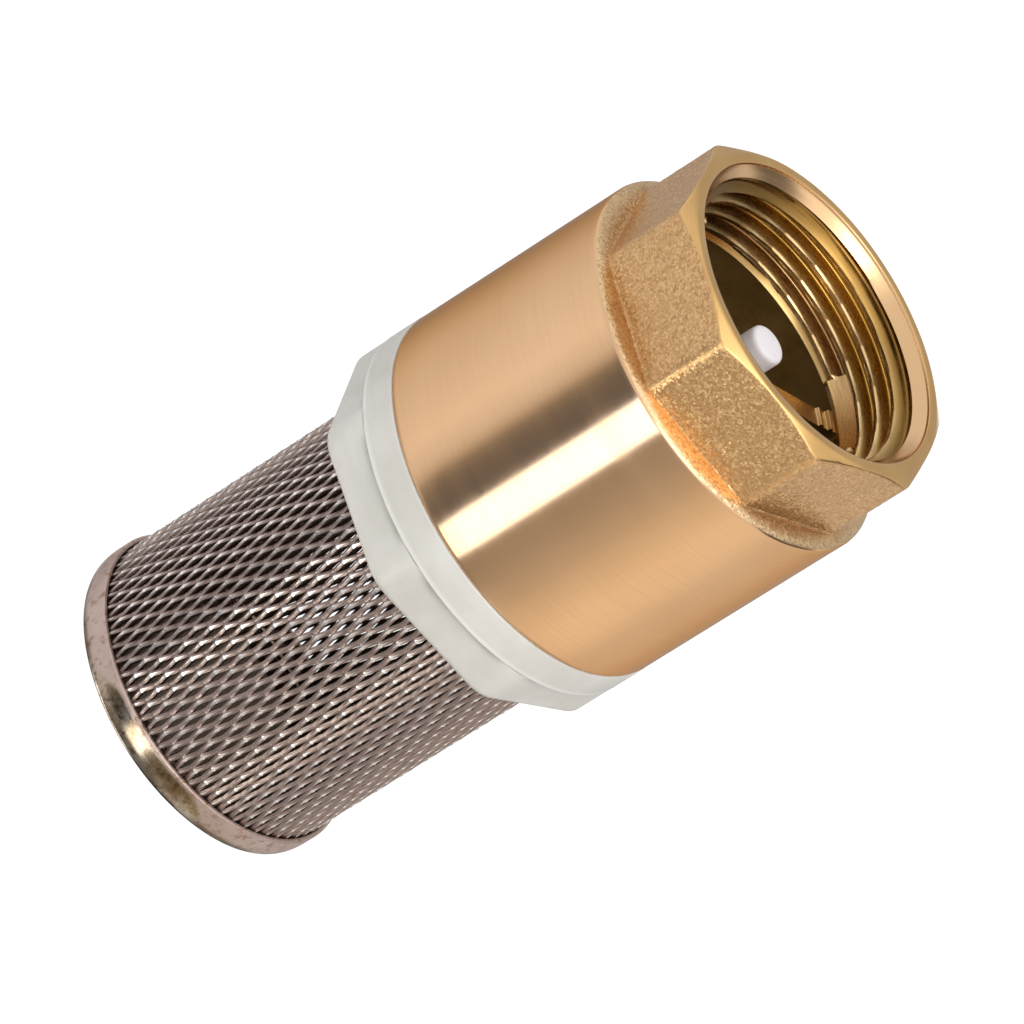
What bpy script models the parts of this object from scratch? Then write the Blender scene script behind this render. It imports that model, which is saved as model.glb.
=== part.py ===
"""Foot valve for a suction pipe, G1 thread: brass spring check valve with a screwed-on strainer.

The valve stands upright: the strainer's end cap rests on z = 0, the flow goes up, and the female
pipe thread opens at the top. All sizes are in metres.
"""
import math

import bmesh
import bpy
from mathutils import Matrix

MM = 0.001
GAP = 0.3 * MM                      # play between touching pieces
ROUND = 48                          # facets of a turned surface
ROUND_SMALL = 32                    # facets of the hidden inner pieces

# Brass body
TOTAL_HEIGHT = 85.6 * MM
BARREL_R = 21.25 * MM
BODY_FOOT_Z = 46.8 * MM             # lower end of the brass
SHOULDER_Z = 74.5 * MM              # where the turned barrel meets the forged shoulder
HEAD_FOOT_Z = 75.1 * MM             # lower edge of the wrench flats
HEAD_FLATS = 37.0 * MM              # across the octagon's flats
HEAD_FACE_R = 18.3 * MM             # outer edge of the machined end face
HEAD_CHAMFER = math.radians(30)     # slope of the turned chamfer below that face
HEAD_EDGE_ROUND = 0.9 * MM

# G1 parallel pipe thread, ISO 228
THREAD_PITCH = 2.309 * MM
THREAD_MAJOR_R = 16.62 * MM
THREAD_MINOR_R = 15.15 * MM
THREAD_TURNS = 3.0
ENTRY_R = 17.0 * MM                 # plain band ahead of the first thread
ENTRY_DEPTH = 2.4 * MM
RELIEF_DEPTH = 9.6 * MM             # where the thread runs out into the relief
RELIEF_R = 16.6 * MM
SOCKET_DEPTH = 11.8 * MM

# Stem guide, cast in one with the body
GUIDE_THICK = 2.8 * MM
GUIDE_ARM_WIDTH = 2.2 * MM
GUIDE_TURN = math.radians(34)       # direction of the first arm
GUIDE_ARMS = 3
HUB_R = 4.2 * MM
HUB_TOP_Z = 74.3 * MM
HUB_FOOT_Z = 69.4 * MM
PORT_R = 16.1 * MM
PORT_CORNER = 1.8 * MM

# Chamber, seat and the threaded lower end
CHAMBER_R = 17.6 * MM
LOWER_BORE_R = 19.1 * MM
CHAMBER_FOOT_Z = 58.7 * MM
SEAT_RING_FOOT_Z = 54.3 * MM
SEAT_RING_TOP_Z = 57.3 * MM
SEAT_LIP_Z = 58.9 * MM
SEAT_BORE_R = 12.5 * MM
SEAT_LIP_R = 13.5 * MM

# Poppet and what it carries
STEM_R = 2.25 * MM
STEM_PLAY = 0.15 * MM
STEM_TOP_Z = 79.1 * MM
STEM_FILLET = 0.5 * MM
DISC_R = 14.0 * MM
DISC_THICK = 2.2 * MM
SEAL_THICK = 1.8 * MM
SEAL_R = 13.7 * MM
BOSS_R = 3.7 * MM
RETAINER_R = 11.6 * MM
RETAINER_THICK = 1.8 * MM
WING_R = 12.1 * MM
WING_THICK = 1.2 * MM
WING_FOOT_Z = 52.6 * MM
SCREW_R = 1.5 * MM
SCREW_HEAD_R = 2.8 * MM
SCREW_HEAD_HIGH = 1.7 * MM
SCREW_LENGTH = 7.6 * MM

# Spring
SPRING_WIRE_R = 0.4 * MM
SPRING_FOOT_R = 8.6 * MM
SPRING_TOP_R = 5.3 * MM
SPRING_TURNS = 3.5

# Nylon strainer holder
FLANGE_R = 21.3 * MM
FLANGE_FOOT_Z = 42.8 * MM
COLLAR_FOOT_Z = 37.4 * MM
COLLAR_FLATS = 39.8 * MM
COLLAR_TURN = math.radians(27.5)
COLLAR_EDGE_ROUND = 1.6 * MM
SPIGOT_TOP_Z = 54.0 * MM
HOLDER_BORE_R = 15.2 * MM
MESH_POCKET_TOP_Z = 42.4 * MM

# Strainer
MESH_R = 17.55 * MM                 # outside of the tube
MESH_THICK = 0.8 * MM
MESH_FOOT_Z = 1.3 * MM
CLAMP_THICK = 0.7 * MM
CLAMP_HIGH = 4.0 * MM
CAP_R = 18.2 * MM
CAP_LIP_Z = 3.4 * MM
CAP_THICK = 0.35 * MM
CAP_CORNER = 0.9 * MM
CAP_REST_R = 14.0 * MM              # inner edge of the ring that the cap stands on
CAP_RECESS = 0.7 * MM

# Heights that follow from the sizes above
SPIDER_TOP_Z = TOTAL_HEIGHT - SOCKET_DEPTH
SPIDER_FOOT_Z = SPIDER_TOP_Z - GUIDE_THICK
SEAL_FOOT_Z = SEAT_LIP_Z + GAP
DISC_FOOT_Z = SEAL_FOOT_Z + SEAL_THICK + GAP
DISC_TOP_Z = DISC_FOOT_Z + DISC_THICK
RETAINER_TOP_Z = SEAL_FOOT_Z - GAP
RETAINER_FOOT_Z = RETAINER_TOP_Z - RETAINER_THICK
SCREW_NECK_Z = RETAINER_FOOT_Z - GAP


def clear_scene():
    """Empty the scene and make the two collections."""
    for obj in list(bpy.data.objects):
        bpy.data.objects.remove(obj, do_unlink=True)
    made = []
    for name in ("foot_valve", "cutters"):
        group = bpy.data.collections.new(name)
        bpy.context.scene.collection.children.link(group)
        made.append(group)
    return made


PARTS, CUTTERS = clear_scene()


def material(name, color, roughness, metallic):
    """A Principled material."""
    mat = bpy.data.materials.new(name)
    mat.use_nodes = True
    shader = mat.node_tree.nodes["Principled BSDF"]
    shader.inputs["Base Color"].default_value = (*color, 1.0)
    shader.inputs["Roughness"].default_value = roughness
    shader.inputs["Metallic"].default_value = metallic
    return mat


def add_object(name, mesh, group, mat=None):
    """Put a mesh in the scene, shaded smooth with sharp edges kept."""
    obj = bpy.data.objects.new(name, mesh)
    group.objects.link(obj)
    mesh.shade_smooth()
    mesh.set_sharp_from_angle(angle=math.radians(35))
    if mat:
        mesh.materials.append(mat)
    if group is CUTTERS:
        obj.hide_render = True
        obj.display_type = "WIRE"
    return obj


def bmesh_object(name, bm, group, mat=None):
    """Turn a bmesh into an object with its faces pointing out."""
    bmesh.ops.recalc_face_normals(bm, faces=bm.faces)
    mesh = bpy.data.meshes.new(name)
    bm.to_mesh(mesh)
    bm.free()
    return add_object(name, mesh, group, mat)


def turned(name, profile, group, mat=None, closed=True, facets=ROUND):
    """Revolve an (r, z) profile about Z. It runs down the outer side and back up the inner one.

    An open profile starts and ends on the axis.
    """
    mesh = bpy.data.meshes.new(name)
    count = len(profile)
    edges = [(i, i + 1) for i in range(count - 1)]
    if closed:
        edges.append((count - 1, 0))
    mesh.from_pydata([(r, 0.0, z) for r, z in profile], edges, [])
    obj = add_object(name, mesh, group, mat)
    screw = obj.modifiers.new("turn", "SCREW")
    screw.steps = facets
    screw.render_steps = facets
    screw.use_merge_vertices = True
    screw.merge_threshold = 0.00001
    screw.use_smooth_shade = True
    return obj


def octagon(name, across, z_low, z_high, turn, edge_round, group, mat=None):
    """An upright octagonal bar with its eight edges rounded."""
    bm = bmesh.new()
    corner_r = across / 2 / math.cos(math.pi / 8)
    bmesh.ops.create_cone(bm, cap_ends=True, segments=8, radius1=corner_r, radius2=corner_r,
                          depth=z_high - z_low)
    middle = Matrix.Translation((0, 0, (z_low + z_high) / 2))
    bmesh.ops.transform(bm, matrix=middle @ Matrix.Rotation(turn, 4, "Z"), verts=bm.verts)
    upright = [e for e in bm.edges if abs(e.verts[0].co.z - e.verts[1].co.z) > MM]
    bmesh.ops.bevel(bm, geom=upright, offset=edge_round, segments=3, profile=0.5, affect="EDGES")
    return bmesh_object(name, bm, group, mat)


def boolean(obj, tool, operation):
    """Cut, join or trim an object by another."""
    mod = obj.modifiers.new(tool.name, "BOOLEAN")
    mod.operation = operation
    mod.object = tool
    mod.solver = "EXACT"


def bar(name, size, centre, turn, group, mat=None):
    """A box, turned about Z after it is placed."""
    bm = bmesh.new()
    bmesh.ops.create_cube(bm, size=1.0)
    bmesh.ops.scale(bm, vec=size, verts=bm.verts)
    bmesh.ops.translate(bm, vec=centre, verts=bm.verts)
    bmesh.ops.transform(bm, matrix=Matrix.Rotation(turn, 4, "Z"), verts=bm.verts)
    return bmesh_object(name, bm, group, mat)


def thread_cutter(name, z_start, turns):
    """The helical groove of the female pipe thread, cut upwards from z_start."""
    bm = bmesh.new()
    half_root = THREAD_PITCH * 0.09
    half_mouth = THREAD_PITCH * 0.42
    inner = THREAD_MINOR_R - 0.25 * MM
    corners = [(inner, -half_mouth), (THREAD_MAJOR_R, -half_root),
               (THREAD_MAJOR_R, half_root), (inner, half_mouth)]
    face = bm.faces.new([bm.verts.new((r, 0, z_start + z)) for r, z in corners])
    steps = round(ROUND * turns)
    bmesh.ops.spin(bm, geom=[face, *face.edges, *face.verts], cent=(0, 0, 0), axis=(0, 0, 1),
                   dvec=(0, 0, THREAD_PITCH * turns / steps), angle=2 * math.pi * turns,
                   steps=steps)
    return bmesh_object(name, bm, CUTTERS)


def port_outline():
    """Corners of one kidney port, between two guide arms whose edges it runs parallel to."""
    half_arm = GUIDE_ARM_WIDTH / 2
    sector = 2 * math.pi / GUIDE_ARMS
    hub_edge = HUB_R + 0.4 * MM
    points = []
    for radius, steps, forward in ((PORT_R, 12, True), (hub_edge, 5, False)):
        start = math.asin(half_arm / radius)
        angles = [start + (sector - 2 * start) * i / steps for i in range(steps + 1)]
        if not forward:
            angles.reverse()
        points += [(radius * math.cos(a), radius * math.sin(a)) for a in angles]
    return points


def port_cutter(index):
    """A prism through the guide's web for one port, its four upright corners rounded."""
    bm = bmesh.new()
    base = SPIDER_FOOT_Z - 2 * MM
    face = bm.faces.new([bm.verts.new((x, y, base)) for x, y in port_outline()])
    grown = bmesh.ops.extrude_face_region(bm, geom=[face])
    top = [item for item in grown["geom"] if isinstance(item, bmesh.types.BMVert)]
    bmesh.ops.translate(bm, vec=(0, 0, GUIDE_THICK + 3 * MM), verts=top)
    bmesh.ops.recalc_face_normals(bm, faces=bm.faces)
    corners = [e for e in bm.edges if abs(e.verts[0].co.z - e.verts[1].co.z) > MM
               and e.calc_face_angle() > math.radians(50)
               and math.hypot(*e.verts[0].co.xy) > PORT_R - MM]
    bmesh.ops.bevel(bm, geom=corners, offset=PORT_CORNER, segments=3, profile=0.5,
                    affect="EDGES")
    turn = GUIDE_TURN + index * 2 * math.pi / GUIDE_ARMS
    bmesh.ops.transform(bm, matrix=Matrix.Rotation(turn, 4, "Z"), verts=bm.verts)
    return bmesh_object(f"port_cutter_{index}", bm, CUTTERS)


def make_valve_body():
    """Brass body: octagonal head, turned barrel, pipe thread, stem guide, chamber, lower bore."""
    brass = material("brass", (0.68, 0.44, 0.18), 0.28, 1.0)
    body = octagon("valve_body", HEAD_FLATS, SHOULDER_Z - 2 * MM, TOTAL_HEIGHT, math.pi / 8,
                   HEAD_EDGE_ROUND, PARTS, brass)
    reach = 4 * MM
    chamfer = turned("head_chamfer", [
        (0, TOTAL_HEIGHT + 1e-6),
        (HEAD_FACE_R, TOTAL_HEIGHT + 1e-6),
        (HEAD_FACE_R + reach, TOTAL_HEIGHT - reach * math.tan(HEAD_CHAMFER)),
        (HEAD_FACE_R + reach, SHOULDER_Z - 3 * MM),
        (0, SHOULDER_Z - 3 * MM),
    ], CUTTERS, closed=False, facets=96)
    boolean(body, chamfer, "INTERSECT")
    barrel = turned("barrel", [
        (0, HEAD_FOOT_Z),
        (HEAD_FLATS / 2 - 0.5 * MM, HEAD_FOOT_Z),
        (BARREL_R - 0.4 * MM, SHOULDER_Z + 0.2 * MM),
        (BARREL_R, SHOULDER_Z - 0.2 * MM),
        (BARREL_R, BODY_FOOT_Z + 0.4 * MM),
        (BARREL_R - 0.4 * MM, BODY_FOOT_Z),
        (0, BODY_FOOT_Z),
    ], CUTTERS, closed=False, facets=64)
    boolean(body, barrel, "UNION")
    socket = turned("socket_cutter", [
        (0, TOTAL_HEIGHT + 2 * MM),
        (ENTRY_R + 0.3 * MM, TOTAL_HEIGHT + 2 * MM),
        (ENTRY_R + 0.3 * MM, TOTAL_HEIGHT),
        (ENTRY_R, TOTAL_HEIGHT - 0.3 * MM),
        (ENTRY_R - 0.2 * MM, TOTAL_HEIGHT - ENTRY_DEPTH),
        (THREAD_MINOR_R, TOTAL_HEIGHT - ENTRY_DEPTH - 0.9 * MM),
        (THREAD_MINOR_R, TOTAL_HEIGHT - RELIEF_DEPTH),
        (RELIEF_R, TOTAL_HEIGHT - RELIEF_DEPTH - 0.9 * MM),
        (RELIEF_R, SPIDER_TOP_Z),
        (0, SPIDER_TOP_Z),
    ], CUTTERS, closed=False)
    boolean(body, socket, "DIFFERENCE")
    thread = thread_cutter("thread_cutter", TOTAL_HEIGHT - RELIEF_DEPTH - 0.4 * MM, THREAD_TURNS)
    boolean(body, thread, "DIFFERENCE")
    chamber = turned("chamber_cutter", [
        (HUB_R, SPIDER_FOOT_Z),
        (CHAMBER_R, SPIDER_FOOT_Z),
        (CHAMBER_R, CHAMBER_FOOT_Z),
        (LOWER_BORE_R, CHAMBER_FOOT_Z),
        (LOWER_BORE_R, BODY_FOOT_Z - 2 * MM),
        (0, BODY_FOOT_Z - 2 * MM),
        (0, HUB_FOOT_Z),
        (HUB_R, HUB_FOOT_Z),
    ], CUTTERS)
    boolean(body, chamber, "DIFFERENCE")
    for index in range(GUIDE_ARMS):
        boolean(body, port_cutter(index), "DIFFERENCE")
    hub = turned("hub_collar", [
        (0, HUB_TOP_Z), (HUB_R - 0.4 * MM, HUB_TOP_Z), (HUB_R, SPIDER_TOP_Z - 1.0 * MM),
        (0, SPIDER_TOP_Z - 1.0 * MM),
    ], CUTTERS, closed=False, facets=24)
    boolean(body, hub, "UNION")
    stem_bore = turned("stem_bore_cutter", [
        (0, HUB_TOP_Z + 2 * MM), (STEM_R + STEM_PLAY, HUB_TOP_Z + 2 * MM),
        (STEM_R + STEM_PLAY, HUB_FOOT_Z - 2 * MM), (0, HUB_FOOT_Z - 2 * MM),
    ], CUTTERS, closed=False, facets=24)
    boolean(body, stem_bore, "DIFFERENCE")


def make_seat_ring():
    """Brass ring with the raised lip that the seal closes on, and two spanner slots below."""
    brass = material("seat_brass", (0.70, 0.47, 0.20), 0.22, 1.0)
    ring = turned("seat_ring", [
        (SEAT_LIP_R, SEAT_LIP_Z),
        (SEAT_LIP_R + 1.0 * MM, SEAT_RING_TOP_Z),
        (LOWER_BORE_R - GAP, SEAT_RING_TOP_Z),
        (LOWER_BORE_R - GAP, SEAT_RING_FOOT_Z),
        (SEAT_BORE_R + 0.6 * MM, SEAT_RING_FOOT_Z),
        (SEAT_BORE_R, SEAT_RING_FOOT_Z + 0.6 * MM),
        (SEAT_BORE_R, SEAT_LIP_Z),
    ], PARTS, brass)
    slots = bar("spanner_slot_cutter", (60 * MM, 3 * MM, 2.4 * MM),
                (0, 0, SEAT_RING_FOOT_Z), 0.0, CUTTERS)
    boolean(ring, slots, "DIFFERENCE")


def make_seat_gasket():
    """Flat ring between the seat ring and the body's inner shoulder."""
    rubber = material("gasket_rubber", (0.03, 0.03, 0.03), 0.75, 0.0)
    high = CHAMBER_FOOT_Z - GAP
    low = SEAT_RING_TOP_Z + GAP
    outer = LOWER_BORE_R - GAP
    turned("seat_gasket", [(outer, high), (outer, low), (CHAMBER_R - GAP, low),
                           (CHAMBER_R - GAP, high)], PARTS, rubber, facets=ROUND_SMALL)


def make_poppet():
    """Nylon disc with its guide stem; the screw's blind hole is in the boss below."""
    nylon = material("poppet_nylon", (0.82, 0.78, 0.82), 0.42, 0.0)
    turned("poppet", [
        (0, STEM_TOP_Z),
        (STEM_R - 0.5 * MM, STEM_TOP_Z),
        (STEM_R, STEM_TOP_Z - 0.5 * MM),
        (STEM_R, DISC_TOP_Z + STEM_FILLET),
        (STEM_R + STEM_FILLET, DISC_TOP_Z),
        (SPRING_FOOT_R - 0.8 * MM, DISC_TOP_Z - 0.4 * MM),
        (SPRING_FOOT_R + 0.8 * MM, DISC_TOP_Z - 0.4 * MM),
        (SPRING_FOOT_R + 1.2 * MM, DISC_TOP_Z),
        (DISC_R - 0.4 * MM, DISC_TOP_Z),
        (DISC_R, DISC_TOP_Z - 0.4 * MM),
        (DISC_R, DISC_FOOT_Z),
        (BOSS_R, DISC_FOOT_Z),
        (BOSS_R, SEAL_FOOT_Z),
        (SCREW_R + GAP, SEAL_FOOT_Z),
        (SCREW_R + GAP, SCREW_NECK_Z + SCREW_LENGTH + GAP),
        (0, SCREW_NECK_Z + SCREW_LENGTH + GAP),
    ], PARTS, nylon, closed=False, facets=24)


def make_poppet_seal():
    """Flat nitrile ring around the poppet's boss."""
    rubber = material("seal_rubber", (0.02, 0.02, 0.02), 0.6, 0.0)
    high = SEAL_FOOT_Z + SEAL_THICK
    turned("poppet_seal", [(SEAL_R, high), (SEAL_R, SEAL_FOOT_Z), (BOSS_R + GAP, SEAL_FOOT_Z),
                           (BOSS_R + GAP, high)], PARTS, rubber, facets=ROUND_SMALL)


def make_seal_retainer():
    """Nylon plate that clamps the seal, with four wings that guide it in the seat's bore."""
    nylon = material("retainer_nylon", (0.80, 0.77, 0.78), 0.45, 0.0)
    plate = turned("seal_retainer", [
        (RETAINER_R, RETAINER_TOP_Z),
        (RETAINER_R, RETAINER_FOOT_Z),
        (SCREW_R + GAP, RETAINER_FOOT_Z),
        (SCREW_R + GAP, RETAINER_TOP_Z),
    ], PARTS, nylon, facets=ROUND_SMALL)
    inner = SCREW_HEAD_R + 0.8 * MM
    high = RETAINER_FOOT_Z + RETAINER_THICK / 2
    for index in range(4):
        wing = bar(f"guide_wing_{index}", (WING_R - inner, WING_THICK, high - WING_FOOT_Z),
                   ((WING_R + inner) / 2, 0, (high + WING_FOOT_Z) / 2),
                   math.pi / 4 + index * math.pi / 2, CUTTERS)
        boolean(plate, wing, "UNION")


def make_retainer_screw():
    """Pan-head screw with a cross slot, up into the poppet."""
    steel = material("screw_steel", (0.55, 0.54, 0.52), 0.3, 1.0)
    low = SCREW_NECK_Z - SCREW_HEAD_HIGH
    screw = turned("retainer_screw", [
        (0, SCREW_NECK_Z + SCREW_LENGTH),
        (SCREW_R - 0.3 * MM, SCREW_NECK_Z + SCREW_LENGTH),
        (SCREW_R, SCREW_NECK_Z + SCREW_LENGTH - 0.3 * MM),
        (SCREW_R, SCREW_NECK_Z),
        (SCREW_HEAD_R, SCREW_NECK_Z),
        (SCREW_HEAD_R, low + 0.7 * MM),
        (SCREW_HEAD_R - 0.7 * MM, low),
        (0, low),
    ], PARTS, steel, closed=False, facets=24)
    for index in range(2):
        slot = bar(f"slot_cutter_{index}", (3.2 * MM, 0.6 * MM, 1.8 * MM), (0, 0, low),
                   index * math.pi / 2, CUTTERS)
        boolean(screw, slot, "DIFFERENCE")


def make_spring():
    """Conical compression spring from the poppet's disc up to the guide's web, round the hub."""
    steel = material("spring_steel", (0.60, 0.58, 0.55), 0.25, 1.0)
    low = DISC_TOP_Z - 0.4 * MM + GAP + SPRING_WIRE_R
    high = SPIDER_FOOT_Z - GAP - SPRING_WIRE_R
    per_turn = 16
    count = round(SPRING_TURNS * per_turn)
    rest = per_turn * 0.6           # points in each flat end coil
    data = bpy.data.curves.new("spring", "CURVE")
    data.dimensions = "3D"
    data.bevel_depth = SPRING_WIRE_R
    data.bevel_resolution = 2
    data.use_fill_caps = True
    wire = data.splines.new("POLY")
    wire.points.add(count)
    for i, point in enumerate(wire.points):
        along = i / count
        climb = min(max((i - rest) / (count - 2 * rest), 0.0), 1.0)
        radius = SPRING_FOOT_R + (SPRING_TOP_R - SPRING_FOOT_R) * along
        angle = 2 * math.pi * i / per_turn
        point.co = (radius * math.cos(angle), radius * math.sin(angle),
                    low + (high - low) * climb, 1.0)
    spring = bpy.data.objects.new("spring", data)
    PARTS.objects.link(spring)
    data.materials.append(steel)


def make_strainer_holder():
    """Nylon holder: octagonal collar, round flange, spigot into the body, pocket for the mesh."""
    nylon = material("holder_nylon", (0.72, 0.70, 0.66), 0.45, 0.0)
    holder = octagon("strainer_holder", COLLAR_FLATS, COLLAR_FOOT_Z, FLANGE_FOOT_Z + 1 * MM,
                     COLLAR_TURN, COLLAR_EDGE_ROUND, PARTS, nylon)
    upper = turned("holder_upper", [
        (0, SPIGOT_TOP_Z),
        (LOWER_BORE_R - GAP - 0.6 * MM, SPIGOT_TOP_Z),
        (LOWER_BORE_R - GAP, SPIGOT_TOP_Z - 0.6 * MM),
        (LOWER_BORE_R - GAP, BODY_FOOT_Z - GAP),
        (FLANGE_R - 0.3 * MM, BODY_FOOT_Z - GAP),
        (FLANGE_R, BODY_FOOT_Z - GAP - 0.3 * MM),
        (FLANGE_R, FLANGE_FOOT_Z + 0.3 * MM),
        (FLANGE_R - 0.3 * MM, FLANGE_FOOT_Z),
        (0, FLANGE_FOOT_Z),
    ], CUTTERS, closed=False, facets=64)
    boolean(holder, upper, "UNION")
    pocket_r = MESH_R + GAP
    bore = turned("holder_bore_cutter", [
        (0, SPIGOT_TOP_Z + 2 * MM),
        (HOLDER_BORE_R, SPIGOT_TOP_Z + 2 * MM),
        (HOLDER_BORE_R, MESH_POCKET_TOP_Z),
        (pocket_r, MESH_POCKET_TOP_Z),
        (pocket_r, COLLAR_FOOT_Z - 2 * MM),
        (0, COLLAR_FOOT_Z - 2 * MM),
    ], CUTTERS, closed=False)
    boolean(holder, bore, "DIFFERENCE")


def make_mesh_clamp_ring():
    """Steel ferrule inside the mesh's upper end."""
    steel = material("clamp_steel", (0.55, 0.54, 0.52), 0.35, 1.0)
    outer = MESH_R - MESH_THICK - GAP
    high = MESH_POCKET_TOP_Z - GAP
    turned("mesh_clamp_ring", [(outer, high), (outer, high - CLAMP_HIGH),
                               (outer - CLAMP_THICK, high - CLAMP_HIGH),
                               (outer - CLAMP_THICK, high)], PARTS, steel, facets=ROUND_SMALL)


def make_strainer_mesh():
    """Tube of expanded sheet, modelled without its 3.7 by 1.7 mm openings."""
    steel = material("mesh_steel", (0.42, 0.38, 0.35), 0.3, 1.0)
    high = MESH_POCKET_TOP_Z - GAP
    inner = MESH_R - MESH_THICK
    turned("strainer_mesh", [(MESH_R, high), (MESH_R, MESH_FOOT_Z), (inner, MESH_FOOT_Z),
                             (inner, high)], PARTS, steel)


def make_strainer_cap():
    """Pressed steel cup on the lower end, standing on the ring around its recessed middle."""
    steel = material("cap_steel", (0.60, 0.52, 0.46), 0.3, 1.0)
    inner = CAP_R - CAP_THICK
    turned("strainer_cap", [
        (0, CAP_RECESS + CAP_THICK),
        (CAP_REST_R - 1.2 * MM, CAP_RECESS + CAP_THICK),
        (CAP_REST_R - 0.2 * MM, CAP_THICK),
        (inner - CAP_CORNER, CAP_THICK),
        (inner, CAP_THICK + CAP_CORNER),
        (inner, CAP_LIP_Z),
        (CAP_R, CAP_LIP_Z),
        (CAP_R, CAP_CORNER),
        (CAP_R - 0.3 * CAP_CORNER, 0.3 * CAP_CORNER),
        (CAP_R - CAP_CORNER, 0),
        (CAP_REST_R, 0),
        (CAP_REST_R - 1.0 * MM, CAP_RECESS),
        (0, CAP_RECESS),
    ], PARTS, steel, closed=False)


make_valve_body()
make_seat_ring()
make_seat_gasket()
make_poppet()
make_poppet_seal()
make_seal_retainer()
make_retainer_screw()
make_spring()
make_strainer_holder()
make_mesh_clamp_ring()
make_strainer_mesh()
make_strainer_cap()
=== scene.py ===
"""Looks of the G1 foot valve: fine meshes, materials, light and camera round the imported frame.

The valve stands upright on its strainer's cap, z up, all sizes in metres. Each piece stands for
the CAD node of the same name, which carries the size, the collision and the motion.
"""
import math

import bmesh
import bpy
import numpy as np
from mathutils import Matrix, Quaternion, Vector


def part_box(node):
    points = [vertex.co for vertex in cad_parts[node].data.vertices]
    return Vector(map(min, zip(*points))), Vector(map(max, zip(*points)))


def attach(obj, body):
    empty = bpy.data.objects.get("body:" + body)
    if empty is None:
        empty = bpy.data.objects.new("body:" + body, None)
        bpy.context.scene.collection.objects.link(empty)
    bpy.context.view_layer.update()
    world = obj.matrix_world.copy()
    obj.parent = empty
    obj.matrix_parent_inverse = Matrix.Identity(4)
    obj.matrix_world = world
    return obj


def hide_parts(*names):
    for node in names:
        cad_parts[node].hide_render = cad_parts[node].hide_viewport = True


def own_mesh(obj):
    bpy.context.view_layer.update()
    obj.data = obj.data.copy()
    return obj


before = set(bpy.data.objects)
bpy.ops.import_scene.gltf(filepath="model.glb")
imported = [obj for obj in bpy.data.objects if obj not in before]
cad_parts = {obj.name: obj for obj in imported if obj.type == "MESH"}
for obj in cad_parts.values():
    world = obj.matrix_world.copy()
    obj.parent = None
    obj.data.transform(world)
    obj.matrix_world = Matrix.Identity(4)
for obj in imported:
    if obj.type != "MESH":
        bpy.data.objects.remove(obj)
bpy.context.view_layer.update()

MM = 0.001
TAU = 2 * math.pi
RNG = np.random.default_rng(11)

# Heights and radii read from the frame
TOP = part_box("valve_body")[1].z
BODY_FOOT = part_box("valve_body")[0].z
BARREL_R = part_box("valve_body")[1].x
FLANGE_TOP = BODY_FOOT - 0.3 * MM
FLANGE_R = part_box("strainer_holder")[1].x
COLLAR_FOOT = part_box("strainer_holder")[0].z
SPIGOT_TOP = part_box("strainer_holder")[1].z
STEM_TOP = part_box("poppet")[1].z
MESH_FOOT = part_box("strainer_mesh")[0].z
MESH_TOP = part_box("strainer_mesh")[1].z
CAP_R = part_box("strainer_cap")[1].x
CAP_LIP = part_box("strainer_cap")[1].z

# Head
HEAD_FLATS = 37.0 * MM
HEAD_CORNER = 2.0 * MM              # rounding of the octagon's eight edges
HEAD_TURN = math.radians(22.5)      # direction of one of those edges
HEAD_FOOT = TOP - 10.5 * MM
HEAD_FACE_R = 18.3 * MM
HEAD_CHAMFER = math.tan(math.radians(30))
SHOULDER = TOP - 10.9 * MM
CAST_GRAIN = 0.012 * MM             # height of the cast skin's lumps

# Pipe thread
PITCH = 2.309 * MM
THREAD_MINOR_R = 15.12 * MM
THREAD_FLAT_R = 15.20 * MM          # the bore that cuts the crests flat
THREAD_DEPTH = 1.479 * MM
THREAD_ROUND = 0.317 * MM
THREAD_PHASE = TOP - 3.2 * MM - PITCH * 40 / 360      # a crest's height at angle 0
MOUTH_R = 17.2 * MM
MOUTH_FOOT = TOP - 0.3 * MM         # the mouth's short upright wall ends here
ENTRY_R = 16.1 * MM                 # foot of the 45 degree entry cone
ENTRY_FOOT = MOUTH_FOOT - (MOUTH_R - ENTRY_R)
UNDERCUT_R = 16.25 * MM             # groove turned between the entry band and the thread
UNDERCUT_FOOT = TOP - 2.1 * MM
THREAD_LEAD_SLOPE = 1.75            # first thread: inward run over fall, near its flanks' slope
THREAD_FOOT = TOP - 10.6 * MM

# Stem guide
WEB_TOP = TOP - 11.8 * MM
WEB_FOOT = WEB_TOP - 2.8 * MM
ARMS = 3
ARM_TURN = math.radians(34)
ARM_WIDTH = 2.2 * MM
PAD_REACH = math.radians(17)        # half the arc of the smooth cone cut over each arm
PAD_TOP = TOP - 8.4 * MM
PAD_TOP_R = 16.4 * MM
PAD_FOOT_R = 15.3 * MM
HUB_R = 4.2 * MM
HUB_TOP = WEB_TOP + 0.5 * MM
HUB_FOOT = WEB_FOOT - 1.6 * MM
STEM_BORE_R = 2.4 * MM
PORT_R = 16.1 * MM
PORT_CORNER = 1.8 * MM

# Chamber and lower bore
CHAMBER_R = 17.6 * MM
CHAMBER_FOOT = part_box("seat_gasket")[1].z + 0.3 * MM
LOWER_R = 19.15 * MM
LOWER_PITCH = 1.5 * MM
LOWER_DEPTH = 0.8 * MM
THREAD_PLAY = 0.1 * MM

# Strainer holder
COLLAR_FLATS = 40.0 * MM
COLLAR_CORNER = 4.6 * MM
COLLAR_TURN = math.radians(27.5)
COLLAR_EDGE = 0.9 * MM              # rounding of the collar's lower edge
FLANGE_FOOT = FLANGE_TOP - 3.7 * MM
SHUT_TOP = BODY_FOOT - 0.04 * MM    # the flange drawn up against the barrel
HOLDER_BORE_R = 15.2 * MM
POCKET_R = 17.85 * MM

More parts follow.
